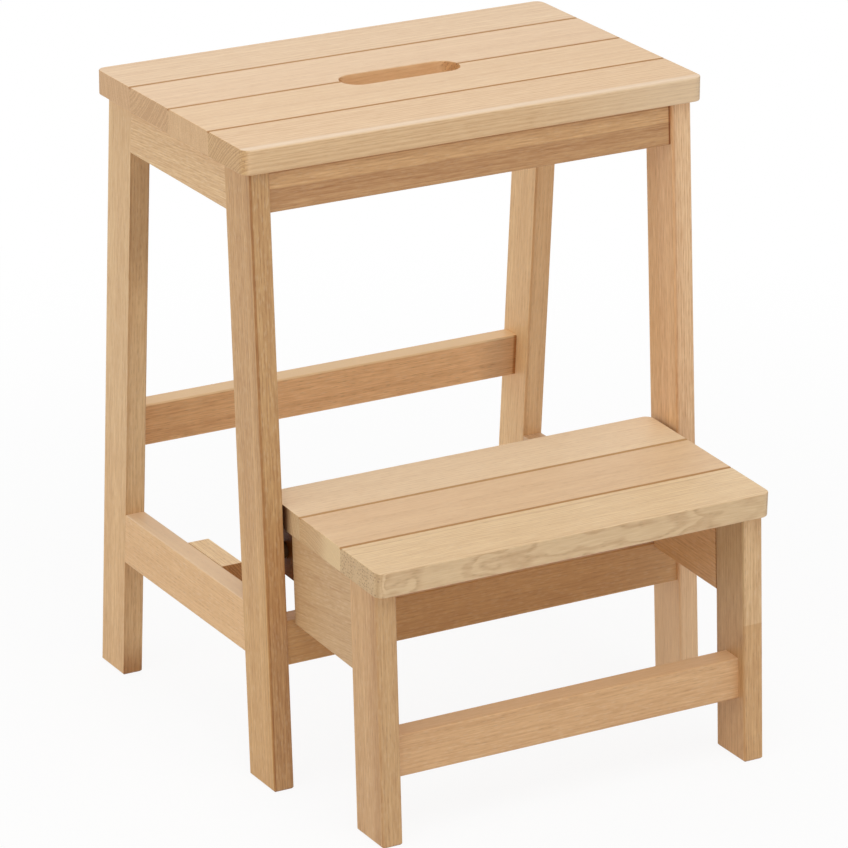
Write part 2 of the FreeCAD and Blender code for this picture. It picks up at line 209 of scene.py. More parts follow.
@dataclass(frozen=True)
class PlankCuts:
    """Cuts in a plank that show darker wood: the V grooves beside its neighbours and the hand slot."""

    before: bool
    behind: bool
    plank_mm: float
    board_mm: float
    slot_mm: float = 0.0
    half_mouth_mm: float = 2.1
    depth_mm: float = 1.8
    blend_mm: float = 1.0
    slot_margin_mm: float = 1.0
    wall_turn: tuple[float, float] = (0.7, 0.3)

    def groove_mask(self, wood: Wood) -> Socket:
        """Finds the grooved edges, which are tinted to a brown line.

        Args:
            wood: The plank's wood.

        Returns:
            1 inside a groove and 0 outside.
        """
        tree, along = wood.tree, wood.axes.outputs
        breadth, depth = wood.sawing.heart_mm
        half = self.plank_mm / 2
        rear_edge = half - self.half_mouth_mm - breadth
        front_edge = -half + self.half_mouth_mm - breadth
        floor = self.board_mm / 2 - self.depth_mm - depth
        behind = add_node(tree, "MapRange", {0: along["Y"], 1: rear_edge, 2: rear_edge + self.blend_mm,
                                             4: float(self.behind)}).outputs[0]
        before = add_node(tree, "MapRange", {0: along["Y"], 1: front_edge, 2: front_edge - self.blend_mm,
                                             4: float(self.before)}).outputs[0]
        either = add_node(tree, "Math", {0: behind, 1: before}, operation="MAXIMUM").outputs[0]
        upper = add_node(tree, "MapRange", {0: along["Z"], 1: floor, 2: floor + self.blend_mm}).outputs[0]
        return add_node(tree, "Math", {0: either, 1: upper}, operation="MULTIPLY").outputs[0]

    def slot_mask(self, wood: Wood) -> Socket:
        """Finds the upright walls of the hand slot, which the cutter left a little browned.

        Args:
            wood: The plank's wood.

        Returns:
            1 on the slot's walls and 0 elsewhere.
        """
        tree = wood.tree
        lying, standing = self.wall_turn
        reach = self.slot_mm / 2 + self.slot_margin_mm
        rise = add_node(tree, "SeparateXYZ", {0: wood.coordinates.outputs["Normal"]}).outputs["Z"]
        slope = add_node(tree, "Math", {0: rise}, operation="ABSOLUTE").outputs[0]
        upright = add_node(tree, "MapRange", {0: slope, 1: lying, 2: standing}).outputs[0]
        along = add_node(tree, "Math", {0: wood.axes.outputs["X"]}, operation="ABSOLUTE").outputs[0]
        inside = add_node(tree, "Math", {0: along, 1: reach}, operation="LESS_THAN").outputs[0]
        return add_node(tree, "Math", {0: upright, 1: inside}, operation="MULTIPLY").outputs[0]


@dataclass(frozen=True)
class OiledOak:
    """Planed European oak under a pale matt oil.

    The eye gets a low, broad sheen, straight ring lines along the fibres, short dark pores in the early wood
    of each ring, pale silky ray flecks on faces sawn along the radius, and arcs with dots on end grain. Rings
    and pores are about twice their real width, because the real ones fall between the render's pixels.
    """

    ior: float = 1.5
    roughness: float = 0.5
    roughness_spread: float = 0.14
    relief_mm: float = 0.12
    relief_strength: float = 0.3

    # Sizes of the patterns in the wood
    wander_breadth_mm: float = 30.0
    streak_length_mm: float = 420.0
    streak_breadth_mm: float = 11.0
    fibre_length_mm: float = 16.0
    fibre_breadth_mm: float = 1.2
    pore_length_mm: float = 8.0
    ray_length_mm: float = 7.0
    ray_height_mm: float = 5.0
    ray_breadth_mm: float = 1.1
    noise_detail: float = 3.0
    seed_shift_mm: tuple[float, float, float] = (211.0, 97.0, 53.0)

    # Early wood's share of a ring, the rise just before it, and how the years change the rings' width
    early_share: float = 0.55
    rise_share: float = 0.2
    year_scale: float = 0.4
    year_detail: float = 1.0
    year_sway: float = 2.0

    # Where a cell's core ends and its rim fades out, in cell widths, and how far pores stray from even rows
    pore_edge: tuple[float, float] = (0.1, 0.42)
    pore_stray: float = 0.6
    ray_edge: tuple[float, float] = (0.15, 0.45)

    # How far a face turns towards a direction, as a cosine, before a mask starts and until it is full
    face_turn: tuple[float, float] = (0.3, 0.6)
    end_turn: tuple[float, float] = (0.35, 0.85)

    fibre_share: float = 0.75
    tone_reach: float = 0.7
    tone_spread: tuple[float, float, float] = (0.55, 0.8, 1.0)
    pore_colour: str = "#8A5E38"
    ray_colour: str = "#EBD6B8"
    groove_tint: str = "#CDB38C"
    slot_tint: str = "#FFF0DA"
    slot_pores: float = 0.85

    def material(self, node: str, sawing: Sawing, cuts: PlankCuts | None = None) -> bpy.types.Material:
        """Makes the oak of one piece.

        Args:
            node: CAD node that takes the finish.
            sawing: How that piece was sawn.
            cuts: Grooves along its sides and the hand slot, for a plank.

        Returns:
            The finished material.
        """
        material, tree = new_material("oiled_oak_" + node)
        wood = self.lay_out(tree, node, sawing)
        early, radius = self.rings(wood)
        streak = self.noise(wood, self.streak_length_mm, self.streak_breadth_mm)
        fibre = self.noise(wood, self.fibre_length_mm, self.fibre_breadth_mm)
        pore = self.pores(wood, early)

        colour = self.bare_colour(wood, early, streak, fibre)
        pore_share = add_node(tree, "MapRange", {0: wood.end, 3: sawing.pores, 4: sawing.end_pores})
        colour = self.spotted(tree, colour, pore, pore_share.outputs[0], self.pore_colour)
        colour = self.spotted(tree, colour, self.rays(wood, radius), sawing.rays, self.ray_colour)
        for band in sawing.bands:
            colour = self.banded(wood, colour, streak, band)
        colour = self.tinted(tree, colour, wood.end, sawing.end_tint)
        if cuts is not None:
            colour = self.cut_into(wood, colour, pore, cuts)

        half = self.roughness_spread / 2
        rough = add_node(tree, "MapRange", {0: fibre, 3: self.roughness - half, 4: self.roughness + half})
        relief = add_node(tree, "Math", {0: early, 1: pore}, operation="ADD").outputs[0]
        bump = add_node(tree, "Bump", {"Height": relief, "Strength": self.relief_strength,
                                       "Distance": self.relief_mm * MM}, invert=True)
        shader = add_node(tree, "BsdfPrincipled", {"Base Color": colour, "Roughness": rough.outputs[0],
                                                   "IOR": self.ior, "Normal": bump.outputs[0]})
        add_node(tree, "OutputMaterial", {"Surface": shader.outputs[0]})
        return material

    def lay_out(self, tree: Tree, node: str, sawing: Sawing) -> Wood:
        """Places a piece in its log, with the log's heart as the origin and the fibres along X.

        Args:
            tree: Tree of the material.
            node: CAD node that takes the finish.
            sawing: How that piece was sawn.

        Returns:
            The piece's wood.
        """
        low, high = (Vector(corner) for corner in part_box(node))
        length, breadth, depth = sawing.directions()
        heart = (low + high) / 2 + (breadth * sawing.heart_mm[0] + depth * sawing.heart_mm[1]) * MM
        turn = Matrix((length, breadth, depth)).transposed().to_euler()
        shift = tuple(sawing.seed * step for step in self.seed_shift_mm)

        place = add_node(tree, "TexCoord")
        local = add_node(tree, "Mapping", {"Vector": place.outputs["Object"], "Location": heart,
                                           "Rotation": turn, "Scale": (MM, MM, MM)},
                         vector_type="TEXTURE").outputs[0]
        sample = add_node(tree, "VectorMath", {0: local, 1: shift}, operation="ADD").outputs[0]
        return Wood(tree=tree, sawing=sawing, coordinates=place, from_heart=local,
                    axes=add_node(tree, "SeparateXYZ", {0: local}), sample=sample,
                    end=self.end_mask(tree, place, length))

    def bare_colour(self, wood: Wood, early: Socket, streak: Socket, fibre: Socket) -> Socket:
        """Mixes the pale and the deep colour of the wood by its rings, streaks and fibres.

        Args:
            wood: The piece's wood.
            early: Early wood of the rings.
            streak: Long noise along the fibres.
            fibre: Short noise along the fibres.

        Returns:
            The colour without pores, rays and bands.
        """
        tree, sawing = wood.tree, wood.sawing
        share = add_node(tree, "MapRange", {0: wood.end, 3: sawing.rings, 4: sawing.end_rings}).outputs[0]
        ring_part = add_node(tree, "Math", {0: early, 1: share}, operation="MULTIPLY").outputs[0]
        streak_part = add_node(tree, "Math", {0: streak, 1: 2 * sawing.streaks, 2: ring_part},
                               operation="MULTIPLY_ADD").outputs[0]
        tone = add_node(tree, "Math", {0: fibre, 1: 2 * self.fibre_share, 2: streak_part},
                        operation="MULTIPLY_ADD").outputs[0]
        middle = sawing.rings * self.early_share / 2 + sawing.streaks + self.fibre_share
        start, full = middle - self.tone_reach, middle + self.tone_reach
        depth = add_node(tree, "MapRange", {0: tone, 1: start, 2: full}).outputs[0]
        pale, deep = self.tone_range(sawing)
        return add_node(tree, "Mix", {0: depth, 6: pale, 7: deep}, data_type="RGBA").outputs[2]

    def tone_range(self, sawing: Sawing) -> tuple[Colour, Colour]:
        """Spreads a piece's mean tone into its pale late wood and its deep, redder early wood.

        Args:
            sawing: How the piece was sawn.

        Returns:
            The pale and the deep colour.
        """
        mean = linear(sawing.tone)[:3]
        pale = [m * (1 + sawing.figure * s) for m, s in zip(mean, self.tone_spread)]
        deep = [m * (1 - sawing.figure * s) for m, s in zip(mean, self.tone_spread)]
        return (*pale, 1.0), (*deep, 1.0)

    def noise(self, wood: Wood, length_mm: float, breadth_mm: float) -> Socket:
        """Makes a noise drawn out along the fibres.

        Args:
            wood: The piece's wood.
            length_mm: Size of a patch along the fibres.
            breadth_mm: Size of a patch across them.

        Returns:
            Noise between 0 and 1.
        """
        scale = (1 / length_mm, 1 / breadth_mm, 1 / breadth_mm)
        point = add_node(wood.tree, "VectorMath", {0: wood.sample, 1: scale}, operation="MULTIPLY").outputs[0]
        return add_node(wood.tree, "TexNoise", {"Vector": point, "Scale": 1.0,
                                                "Detail": self.noise_detail}).outputs[0]

    def rings(self, wood: Wood) -> tuple[Socket, Socket]:
        """Makes the growth rings round the heart of the log.

        Args:
            wood: The piece's wood.

        Returns:
            Early wood, from 1 at a ring's start to 0 in its late wood, and the wandering radius.
        """
        tree, sawing = wood.tree, wood.sawing
        flat = add_node(tree, "VectorMath", {0: wood.from_heart, 1: (0, 1, 1)}, operation="MULTIPLY")
        straight = add_node(tree, "VectorMath", {0: flat.outputs[0]}, operation="LENGTH").outputs["Value"]
        wander = self.noise(wood, sawing.wave_length_mm, self.wander_breadth_mm)
        radius = add_node(tree, "Math", {0: wander, 1: 2 * sawing.wave_mm, 2: straight},
                          operation="MULTIPLY_ADD").outputs[0]
        count = add_node(tree, "Math", {0: radius, 1: 1 / sawing.ring_mm}, operation="MULTIPLY").outputs[0]
        years = add_node(tree, "TexNoise", {"W": count, "Scale": self.year_scale, "Detail": self.year_detail},
                         noise_dimensions="1D").outputs[0]
        uneven = add_node(tree, "Math", {0: years, 1: self.year_sway, 2: count},
                          operation="MULTIPLY_ADD").outputs[0]
        part = add_node(tree, "Math", {0: uneven}, operation="FRACT").outputs[0]
        fall = add_node(tree, "MapRange", {0: part, 1: 0.0, 2: self.early_share, 3: 1.0, 4: 0.0},
                        interpolation_type="SMOOTHSTEP").outputs[0]
        rise = add_node(tree, "MapRange", {0: part, 1: 1 - self.rise_share, 2: 1.0},
                        interpolation_type="SMOOTHSTEP").outputs[0]
        early = add_node(tree, "Math", {0: fall, 1: rise}, operation="MAXIMUM").outputs[0]
        return early, radius

    def pores(self, wood: Wood, early: Socket) -> Socket:
        """Makes the open pores: dashes in the early wood of a face, dots all over end grain.

        Args:
            wood: The piece's wood.
            early: Early wood of the rings.

        Returns:
            1 inside a pore and 0 outside.
        """
        tree, breadth_mm = wood.tree, wood.sawing.pore_mm
        core, rim = self.pore_edge
        scale = (1 / self.pore_length_mm, 1 / breadth_mm, 1 / breadth_mm)
        point = add_node(tree, "VectorMath", {0: wood.sample, 1: scale}, operation="MULTIPLY").outputs[0]
        cells = add_node(tree, "TexVoronoi", {"Vector": point, "Scale": 1.0, "Randomness": self.pore_stray})
        pore = add_node(tree, "MapRange", {0: cells.outputs["Distance"], 1: core, 2: rim, 3: 1.0, 4: 0.0},
                        interpolation_type="SMOOTHSTEP").outputs[0]
        open_wood = add_node(tree, "Math", {0: early, 1: wood.end}, operation="MAXIMUM").outputs[0]
        return add_node(tree, "Math", {0: pore, 1: open_wood}, operation="MULTIPLY").outputs[0]

    def rays(self, wood: Wood, radius: Socket) -> Socket:
        """Makes the rays, thin upright sheets of silky cells that run out from the heart.

        Args:
            wood: The piece's wood.
            radius: Distance from the heart.

        Returns:
            1 inside a ray and 0 outside.
        """
        tree, along = wood.tree, wood.axes.outputs
        core, rim = self.ray_edge
        reach = math.hypot(*wood.sawing.heart_mm)
        angle = add_node(tree, "Math", {0: along["Z"], 1: along["Y"]}, operation="ARCTAN2").outputs[0]
        sheet = add_node(tree, "CombineXYZ", {"X": along["X"], "Y": radius, "Z": angle}).outputs[0]
        scale = (1 / self.ray_length_mm, 1 / self.ray_height_mm, reach / self.ray_breadth_mm)
        point = add_node(tree, "VectorMath", {0: sheet, 1: scale}, operation="MULTIPLY").outputs[0]
        cells = add_node(tree, "TexVoronoi", {"Vector": point, "Scale": 1.0}).outputs["Distance"]
        return add_node(tree, "MapRange", {0: cells, 1: core, 2: rim, 3: 1.0, 4: 0.0},
                        interpolation_type="SMOOTHSTEP").outputs[0]

    def spotted(self, tree: Tree, colour: Socket, mask: Socket, share: float | Socket, spot: str) -> Socket:
        """Lays marks of one colour over the wood.

        Args:
            tree: Tree of the material.
            colour: Colour so far.
            mask: Where the marks are.
            share: How far they cover.
            spot: Colour of the marks.

        Returns:
            The colour with the marks.
        """
        cover = add_node(tree, "Math", {0: mask, 1: share}, operation="MULTIPLY").outputs[0]
        return add_node(tree, "Mix", {0: cover, 6: colour, 7: linear(spot)}, data_type="RGBA").outputs[2]

    def tinted(self, tree: Tree, colour: Socket, mask: Socket, tint: str) -> Socket:
        """Multiplies the wood by a tint inside a mask.

        Args:
            tree: Tree of the material.
            colour: Colour so far.
            mask: Where the tint applies.
            tint: Colour to multiply by.

        Returns:
            The tinted colour.
        """
        return add_node(tree, "Mix", {0: mask, 6: colour, 7: linear(tint)}, data_type="RGBA",
                        blend_type="MULTIPLY").outputs[2]

    def banded(self, wood: Wood, colour: Socket, streak: Socket, band: Band) -> Socket:
        """Lays a band of other wood, painted light or painted shade over the piece.

        Args:
            wood: The piece's wood.
            colour: Colour so far.
            streak: Noise that the band's edge wanders with.
            band: The band.

        Returns:
            The colour with the band.
        """
        mask = self.band_mask(wood, streak, band)
        if band.face is not Face.ALL:
            shown = self.face_mask(wood, band.face)
            mask = add_node(wood.tree, "Math", {0: mask, 1: shown}, operation="MULTIPLY").outputs[0]
        if band.veil:
            return self.spotted(wood.tree, colour, mask, band.veil, band.tint)
        return self.tinted(wood.tree, colour, mask, band.tint)

    def cut_into(self, wood: Wood, colour: Socket, pore: Socket, cuts: PlankCuts) -> Socket:
        """Browns a plank's grooves and the walls of its hand slot, whose ends show torn pores.

        Args:
            wood: The plank's wood.
            colour: Colour so far.
            pore: Its pores.
            cuts: Its grooves and its slot.

        Returns:
            The colour with the cuts.
        """
        tree = wood.tree
        colour = self.tinted(tree, colour, cuts.groove_mask(wood), self.groove_tint)
        if not cuts.slot_mm:
            return colour
        slot = cuts.slot_mask(wood)
        colour = self.tinted(tree, colour, slot, self.slot_tint)
        slot_end = add_node(tree, "Math", {0: slot, 1: wood.end}, operation="MULTIPLY").outputs[0]
        torn = add_node(tree, "Math", {0: slot_end, 1: self.slot_pores}, operation="MULTIPLY").outputs[0]
        return self.spotted(tree, colour, pore, torn, self.pore_colour)

    def band_mask(self, wood: Wood, streak: Socket, band: Band) -> Socket:
        """Finds where a band lies.

        Args:
            wood: The piece's wood.
            streak: Noise that the band's edge wanders with.
            band: The band.

        Returns:
            1 in the band and 0 outside.
        """
        tree, along = wood.tree, wood.axes.outputs[band.across.value]
        from_middle = (0.0, *wood.sawing.heart_mm)[band.across.value]
        wavy = add_node(tree, "Math", {0: streak, 1: 2 * band.wander_mm, 2: along},
                        operation="MULTIPLY_ADD").outputs[0]
        begin, end = (edge - from_middle + band.wander_mm for edge in (band.start_mm, band.stop_mm))
        half = band.blend_mm / 2
        after = add_node(tree, "MapRange", {0: wavy, 1: begin - half, 2: begin + half},
                         interpolation_type="SMOOTHSTEP").outputs[0]
        before = add_node(tree, "MapRange", {0: wavy, 1: end + half, 2: end - half},
                          interpolation_type="SMOOTHSTEP").outputs[0]
        return add_node(tree, "Math", {0: after, 1: before}, operation="MULTIPLY").outputs[0]

    def face_mask(self, wood: Wood, face: Face) -> Socket:
        """Finds the faces that look one way.

        Args:
            wood: The piece's wood.
            face: The way that they look.

        Returns:
            1 on such faces and 0 on others.
        """
        start, full = self.face_turn
        facing = add_node(wood.tree, "VectorMath", {0: wood.coordinates.outputs["Normal"], 1: face.value},
                          operation="DOT_PRODUCT").outputs["Value"]
        return add_node(wood.tree, "MapRange", {0: facing, 1: start, 2: full}).outputs[0]

    def end_mask(self, tree: Tree, coordinates: Node, length: Vector) -> Socket:
        """Finds the end grain, which drinks more oil and comes out darker.

        Args:
            tree: Tree of the material.
            coordinates: Texture coordinates.
            length: Direction of the fibres.

        Returns:
            1 on end grain and 0 on faces.
        """
        start, full = self.end_turn
        facing = add_node(tree, "VectorMath", {0: coordinates.outputs["Normal"], 1: length},
                          operation="DOT_PRODUCT").outputs["Value"]
        either = add_node(tree, "Math", {0: facing}, operation="ABSOLUTE").outputs[0]
        return add_node(tree, "MapRange", {0: either, 1: start, 2: full},
                        interpolation_type="SMOOTHSTEP").outputs[0]


@dataclass(frozen=True)
class TurnedStock:
    """Peg or bush turned from plain stock, with clouds or flecks of a deeper colour in it."""

    name: str
    pale: str
    deep: str
    cloud_mm: float
    detail: float
    ior: float
    roughness: float

    def material(self, node: str) -> bpy.types.Material:
        """Makes the finish for one CAD node.

        Args:
            node: CAD node that takes the finish.

        Returns:
            The finished material.
        """
        material, tree = new_material(self.name + "_" + node)
        place = add_node(tree, "TexCoord").outputs["Object"]
        cloud = add_node(tree, "TexNoise", {"Vector": place, "Scale": 1 / (self.cloud_mm * MM),
                                            "Detail": self.detail}).outputs[0]
        colour = add_node(tree, "Mix", {0: cloud, 6: linear(self.pale), 7: linear(self.deep)},
                          data_type="RGBA").outputs[2]
        shader = add_node(tree, "BsdfPrincipled", {"Base Color": colour, "Roughness": self.roughness,
                                                   "IOR": self.ior})
        add_node(tree, "OutputMaterial", {"Surface": shader.outputs[0]})
        return material


@dataclass(frozen=True)
class TurnedMetal:
    """Lathe-turned metal: the cutter leaves fine rings round the axis, which spread the highlight."""

    name: str
    bright: str
    dull: str
    roughness: float
    roughness_spread: float = 0.12
    cloud_mm: float = 3.0
    cloud_detail: float = 4.0
    turning_mm: float = 0.25
    turning_depth_mm: float = 0.02
    turning_strength: float = 0.2

    def material(self, node: str) -> bpy.types.Material:
        """Makes the finish for one CAD node.

        Args:
            node: CAD node that takes the finish.

        Returns:
            The finished material.
        """
        material, tree = new_material(self.name + "_" + node)
        place = add_node(tree, "TexCoord").outputs["Object"]
        cloud = add_node(tree, "TexNoise", {"Vector": place, "Scale": 1 / (self.cloud_mm * MM),
                                            "Detail": self.cloud_detail}).outputs[0]
        colour = add_node(tree, "Mix", {0: cloud, 6: linear(self.bright), 7: linear(self.dull)},
                          data_type="RGBA").outputs[2]
        half = self.roughness_spread / 2
        rough = add_node(tree, "MapRange", {0: cloud, 3: self.roughness - half, 4: self.roughness + half})
        across = add_node(tree, "VectorMath", {0: place, 1: (1 / (self.turning_mm * MM), 0, 0)},
                          operation="MULTIPLY").outputs[0]
        turning = add_node(tree, "TexNoise", {"Vector": across, "Scale": 1.0}).outputs[0]
        bump = add_node(tree, "Bump", {"Height": turning, "Strength": self.turning_strength,
                                       "Distance": self.turning_depth_mm * MM})
        shader = add_node(tree, "BsdfPrincipled", {"Base Color": colour, "Metallic": 1.0,
                                                   "Roughness": rough.outputs[0], "Normal": bump.outputs[0]})
        add_node(tree, "OutputMaterial", {"Surface": shader.outputs[0]})
        return material


OAK = OiledOak()
# Fluted beech dowel, sanded and left bare: pale pinkish wood with small brown flecks, quite matt
BEECH = TurnedStock("turned_beech", pale="#D9B58C", deep="#B08358", cloud_mm=1.2, detail=3.0, ior=1.5,
                    roughness=0.65)
# Brown nylon bush, turned from rod: waxy, slightly cloudy, with a soft highlight
NYLON = TurnedStock("turned_nylon", pale="#5E4120", deep="#4E351A", cloud_mm=4.0, detail=2.0, ior=1.53,
                    roughness=0.42)
# Screws and bolts under a bright zinc plating, grey and a little cloudy
ZINC_STEEL = TurnedMetal("zinc_plated_steel", bright="#C9CBCE", dull="#A9ACB0", roughness=0.32)
# Threaded inserts in bare brass, yellow with duller patches
BRASS = TurnedMetal("turned_brass", bright="#D9B36A", dull="#B98F48", roughness=0.3)


def put_on(pieces: Pieces, node: str, material: bpy.types.Material) -> None:
    """Gives a CAD piece its finish.

    Args:
        pieces: CAD pieces by name.
        node: Piece to dress.
        material: Its finish.
    """
    slots = pieces[node].data.materials
    slots.clear()
    slots.append(material)
    log.info("%s: %s", node, material.name)


@dataclass
class PlankBoard:
    """Board of planks side by side, with grooves between them: the seat or the lower step."""

    prefix: str
    planks: dict[str, Sawing]
    fall_deg: float = 0.0
    slot_mm: float = 0.0
    slotted: tuple[str, ...] = ()

    def dress(self, pieces: Pieces) -> None:
        """Gives each plank its own cut of oak, rear to front.

        Args:
            pieces: CAD pieces by name.
        """
        last = len(self.planks) - 1
        for place, (name, sawing) in enumerate(self.planks.items()):
            node = self.prefix + name
            plank, board = self.section(node)
            cuts = PlankCuts(before=place < last, behind=place > 0, plank_mm=plank, board_mm=board,
                             slot_mm=self.slot_mm if name in self.slotted else 0.0)
            put_on(pieces, node, OAK.material(node, sawing, cuts))

    def section(self, node: str) -> tuple[float, float]:
        """Finds a plank's width and thickness, which its box hides where the plank falls to the front.

        Args:
            node: CAD node of the plank.

        Returns:
            Width and thickness in millimetres.
        """
        low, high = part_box(node)
        span, rise = ((high[i] - low[i]) / MM for i in (1, 2))
        fall = math.radians(self.fall_deg)
        scale = math.cos(2 * fall)
        width = (span * math.cos(fall) - rise * math.sin(fall)) / scale
        thickness = (rise * math.cos(fall) - span * math.sin(fall)) / scale
        return width, thickness


@dataclass
class Joinery:
    """Bars of one sub-assembly, each with its own cut of oak, and the dowels and screws that hold them."""

    bars: dict[str, Sawing]
    dowels: tuple[str, ...]
    screws: tuple[str, ...] = ()

    def dress(self, pieces: Pieces) -> None:
        """Gives every bar, dowel and screw its finish.

        Args:
            pieces: CAD pieces by name.
        """
        for node, sawing in self.bars.items():
            put_on(pieces, node, OAK.material(node, sawing))
        for node in self.dowels:
            put_on(pieces, node, BEECH.material(node))
        for node in self.screws:
            put_on(pieces, node, ZINC_STEEL.material(node))


@dataclass
class PivotSet:
    """Bolts, washers, spacers and inserts that the lower step turns on."""

    finishes: dict[str, TurnedMetal | TurnedStock] = field(default_factory=lambda: {
        "pivot_bolts": ZINC_STEEL,
        "pivot_washers": ZINC_STEEL,
        "pivot_inserts": BRASS,
        "pivot_spacers": NYLON,
    })

    def dress(self, pieces: Pieces) -> None:
        """Gives each kind of pivot hardware its finish.

        Args:
            pieces: CAD pieces by name.
        """
        for node, finish in self.finishes.items():
            put_on(pieces, node, finish.material(node))


def direction_to(azimuth_deg: float, elevation_deg: float) -> Vector:
    """Finds the direction from the stool to a place round it.

    Args:
        azimuth_deg: 0 in front of the stool, on -Y, and 90 on its right, on +X.
        elevation_deg: Angle above the floor.

    Returns:
        A unit vector.
    """
    azimuth, elevation = math.radians(azimuth_deg), math.radians(elevation_deg)
    return Vector((math.sin(azimuth) * math.cos(elevation), -math.cos(azimuth) * math.cos(elevation),
                   math.sin(elevation)))


@dataclass
class Softbox:
    """Large white lamp behind a diffuser, aimed at the middle of the stool."""

    name: str
    azimuth_deg: float
    elevation_deg: float
    distance_m: float
    side_m: float
    power_w: float

    def light(self, aim: Vector) -> None:
        """Hangs the lamp.

        Args:
            aim: Point that it faces.
        """
        lamp = bpy.data.lights.new(self.name, "AREA")
        lamp.shape = "SQUARE"
        lamp.size = self.side_m
        lamp.energy = self.power_w
        box = bpy.data.objects.new(self.name, lamp)
        away = direction_to(self.azimuth_deg, self.elevation_deg)
        box.location = aim + away * self.distance_m
        box.rotation_euler = away.to_track_quat("Z", "Y").to_euler()
        box.visible_camera = False
        bpy.context.scene.collection.objects.link(box)


@dataclass
class Studio:
    """White sweep under soft light: floor, background and lamps."""

    floor_side_m: float = 24.0
    floor_colour: str = "#F4F4F4"
    glow_near: float = 0.9
    glow_far: float = 1.0
    near_m: float = 0.45
    far_m: float = 1.2
    ambient: float = 0.5
    lamps: tuple[Softbox, ...] = (
        Softbox("overhead_softbox", azimuth_deg=-15.0, elevation_deg=66.0, distance_m=2.4, side_m=2.0,
                power_w=22.0),
        Softbox("rear_softbox", azimuth_deg=170.0, elevation_deg=52.0, distance_m=2.4, side_m=1.8,
                power_w=8.0),
        Softbox("left_softbox", azimuth_deg=-85.0, elevation_deg=14.0, distance_m=2.6, side_m=2.0,
                power_w=15.0),
        Softbox("front_softbox", azimuth_deg=5.0, elevation_deg=20.0, distance_m=2.8, side_m=1.8,
                power_w=3.0),
    )

    def build(self, aim: Vector) -> None:
        """Lays the floor, sets the background and hangs the lamps.

        Args:
            aim: Point that the lamps face.
        """
        self.lay_floor()
        self.set_background()
        for lamp in self.lamps:
            lamp.light(aim)

    def seen(self, tree: Tree) -> Socket:
        """Tells whether the camera sees a surface, straight or in metal or glass.

        Args:
            tree: Tree of the material.

        Returns:
            1 for such a ray and 0 for others.
        """
        ray = add_node(tree, "LightPath").outputs
        mirrored = add_node(tree, "Math", {0: ray["Is Glossy Ray"], 1: ray["Is Transmission Ray"]},
                            operation="MAXIMUM").outputs[0]
        return add_node(tree, "Math", {0: mirrored, 1: ray["Is Camera Ray"]}, operation="MAXIMUM").outputs[0]

    def lay_floor(self) -> None:
        """Makes a white floor with a soft shadow near the stool, which fades to plain white further off."""
        half = self.floor_side_m / 2
        corners = [(-half, -half, 0), (half, -half, 0), (half, half, 0), (-half, half, 0)]
        mesh = bpy.data.meshes.new("studio_floor")
        mesh.from_pydata(corners, [], [(0, 1, 2, 3)])
        floor = bpy.data.objects.new("studio_floor", mesh)
        bpy.context.scene.collection.objects.link(floor)
        material, tree = new_material("matt_white_sweep")
        paint = add_node(tree, "BsdfDiffuse", {"Color": linear(self.floor_colour)})
        glow = add_node(tree, "Emission", {"Color": linear(WHITE), "Strength": 1.0})
        place = add_node(tree, "TexCoord").outputs["Object"]
        reach = add_node(tree, "VectorMath", {0: place}, operation="LENGTH").outputs["Value"]
        fade = add_node(tree, "MapRange", {0: reach, 1: self.near_m, 2: self.far_m, 3: self.glow_near,
                                           4: self.glow_far}, interpolation_type="SMOOTHSTEP").outputs[0]
        share = add_node(tree, "Math", {0: self.seen(tree), 1: fade}, operation="MULTIPLY").outputs[0]
        mix = add_node(tree, "MixShader", {0: share, 1: paint.outputs[0], 2: glow.outputs[0]})
        add_node(tree, "OutputMaterial", {"Surface": mix.outputs[0]})
        mesh.materials.append(material)

    def set_background(self) -> None:
        """Makes the background white to the camera and a plain soft light to the stool."""
        world = bpy.data.worlds.new("white_studio")
        world.use_nodes = True
        tree = world.node_tree
        tree.nodes.clear()
        strength = add_node(tree, "MapRange", {0: self.seen(tree), 3: self.ambient, 4: 1.0}).outputs[0]
        sky = add_node(tree, "Background", {"Color": linear(WHITE), "Strength": strength})
        add_node(tree, "OutputWorld", {"Surface": sky.outputs[0]})
        bpy.context.scene.world = world


@dataclass
class Viewpoint:
    """Camera that stands where the photograph was taken from: far off, with a long lens."""

    azimuth_deg: float = -29.69
    elevation_deg: float = 20.53
    roll_deg: float = 0.2
    distance_m: float = 3.851
    focal_px: float = 5013.6
    aim_m: tuple[float, float, float] = (-0.0114, 0.0033, 0.2360)
    clip_end_m: float = 100.0

    def place(self) -> None:
        """Sets up the camera."""
        lens = bpy.data.cameras.new("photo_camera")
        lens.sensor_width = SENSOR_MM
        lens.lens = self.focal_px / IMAGE_SIDE_PX * SENSOR_MM
        lens.clip_end = self.clip_end_m
        camera = bpy.data.objects.new("photo_camera", lens)
        away = direction_to(self.azimuth_deg, self.elevation_deg)
        stand = Matrix.Translation(Vector(self.aim_m) + away * self.distance_m)
        level = away.to_track_quat("Z", "Y").to_matrix()
        turned = level @ Matrix.Rotation(math.radians(self.roll_deg), 3, "Z")
        camera.matrix_world = stand @ turned.to_4x4()
        bpy.context.scene.collection.objects.link(camera)
        bpy.context.scene.camera = camera


